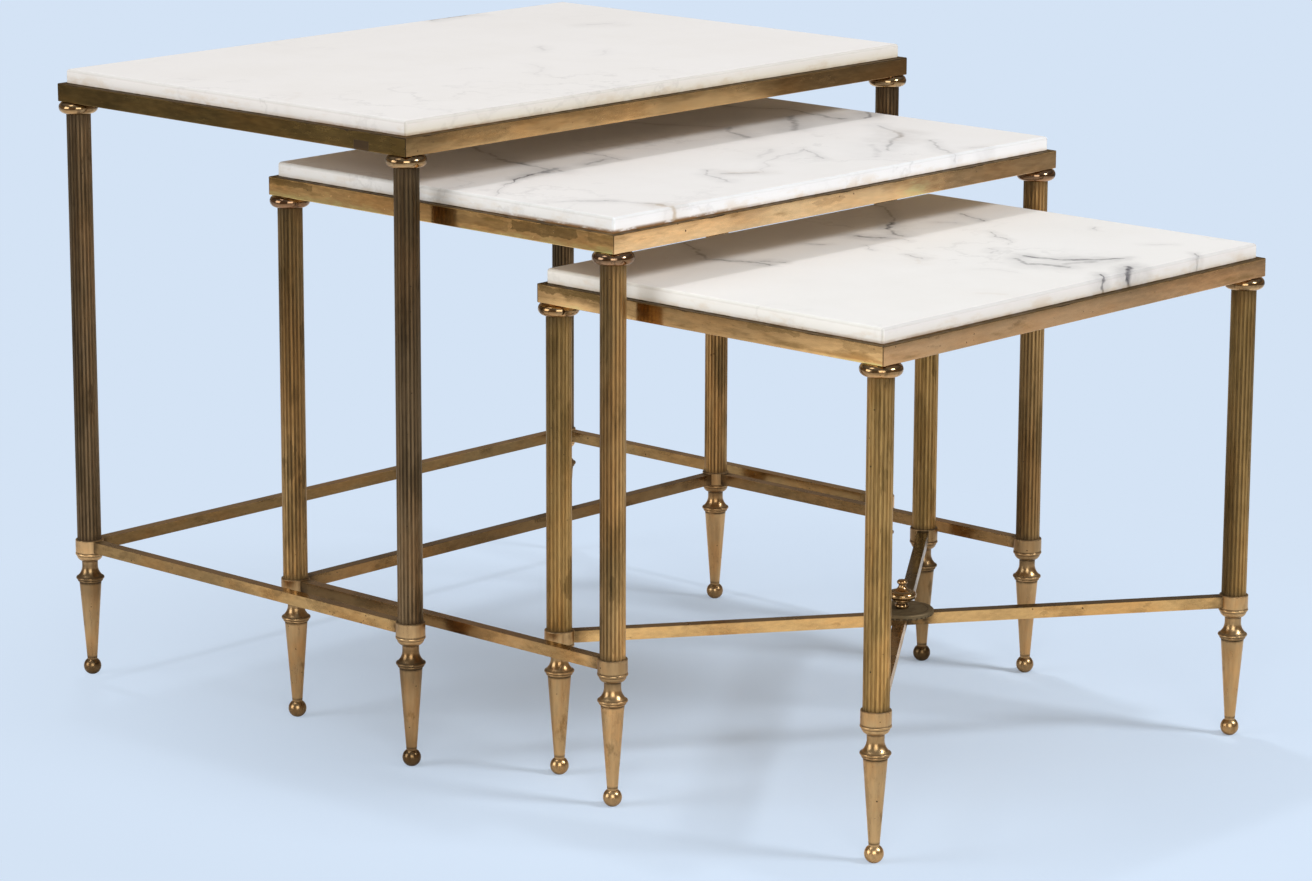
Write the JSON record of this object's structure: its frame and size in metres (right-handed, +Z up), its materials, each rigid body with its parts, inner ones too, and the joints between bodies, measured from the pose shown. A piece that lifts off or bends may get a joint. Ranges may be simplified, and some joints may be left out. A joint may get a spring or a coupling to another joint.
{
  "type": "nesting tables",
  "caption": "Nesting side tables with white marble tops in brass frames on fluted brass legs; the smaller ones slide out from under the larger.",
  "frame": {"origin": "on the floor, at the centre of the set's box as pulled out", "axes": "+Z up, +X along the long sides, the smaller tables are pulled out towards -Y"},
  "size_m": [0.5154, 0.7104, 0.436],
  "materials": {
    "large_marble": "polished white marble with very faint grey veins",
    "middle_marble": "polished white marble with soft grey veins",
    "small_marble": "polished white marble with a few soft grey veins",
    "brass_dark": "aged brass, olive-brown patina, brighter on the turned edges",
    "brass_mid": "aged brass, golden, with olive mottling and dark tarnish spots",
    "brass_light": "polished brass, lightly tarnished in the flutes and under the rings",
    "rod_steel": "plain threaded rod, hidden inside the columns"
  },
  "bodies": {
    "large_table": {"large_marble_top": "large_marble", "large_front_rail": "brass_dark", "large_right_rail": "brass_dark", "large_back_rail": "brass_dark", "large_left_rail": "brass_dark", "large_corner_plates": "brass_dark", "large_ring_caps": "brass_dark", "large_column_front_left": "brass_dark", "large_column_front_right": "brass_dark", "large_column_back_left": "brass_dark", "large_column_back_right": "brass_dark", "large_collars": "brass_dark", "large_foot_front_left": "brass_dark", "large_foot_front_right": "brass_dark", "large_foot_back_left": "brass_dark", "large_foot_back_right": "brass_dark", "large_tie_rods": "rod_steel", "large_left_stretcher": "brass_dark", "large_right_stretcher": "brass_dark", "large_back_stretcher": "brass_dark"},
    "middle_table": {"middle_marble_top": "middle_marble", "middle_front_rail": "brass_mid", "middle_right_rail": "brass_mid", "middle_back_rail": "brass_mid", "middle_left_rail": "brass_mid", "middle_corner_plates": "brass_mid", "middle_ring_caps": "brass_mid", "middle_column_front_left": "brass_mid", "middle_column_front_right": "brass_mid", "middle_column_back_left": "brass_mid", "middle_column_back_right": "brass_mid", "middle_collars": "brass_mid", "middle_foot_front_left": "brass_mid", "middle_foot_front_right": "brass_mid", "middle_foot_back_left": "brass_mid", "middle_foot_back_right": "brass_mid", "middle_tie_rods": "rod_steel", "middle_left_stretcher": "brass_mid", "middle_right_stretcher": "brass_mid", "middle_back_stretcher": "brass_mid"},
    "small_table": {"small_marble_top": "small_marble", "small_front_rail": "brass_light", "small_right_rail": "brass_light", "small_back_rail": "brass_light", "small_left_rail": "brass_light", "small_corner_plates": "brass_light", "small_ring_caps": "brass_light", "small_column_front_left": "brass_light", "small_column_front_right": "brass_light", "small_column_back_left": "brass_light", "small_column_back_right": "brass_light", "small_collars": "brass_light", "small_foot_front_left": "brass_light", "small_foot_front_right": "brass_light", "small_foot_back_left": "brass_light", "small_foot_back_right": "brass_light", "small_tie_rods": "rod_steel", "small_cross_bars": "brass_light", "small_crossing_disc": "brass_light", "small_finial": "brass_light"}
  },
  "joints": [
    {"name": "middle_table_slide", "type": "slide", "parent": "large_table", "child": "middle_table", "axis": [0, -1, 0], "range_m": [-0.1695, 0.2305]},
    {"name": "small_table_slide", "type": "slide", "parent": "middle_table", "child": "small_table", "axis": [0, -1, 0], "range_m": [-0.2095, 0.1905]}
  ]
}
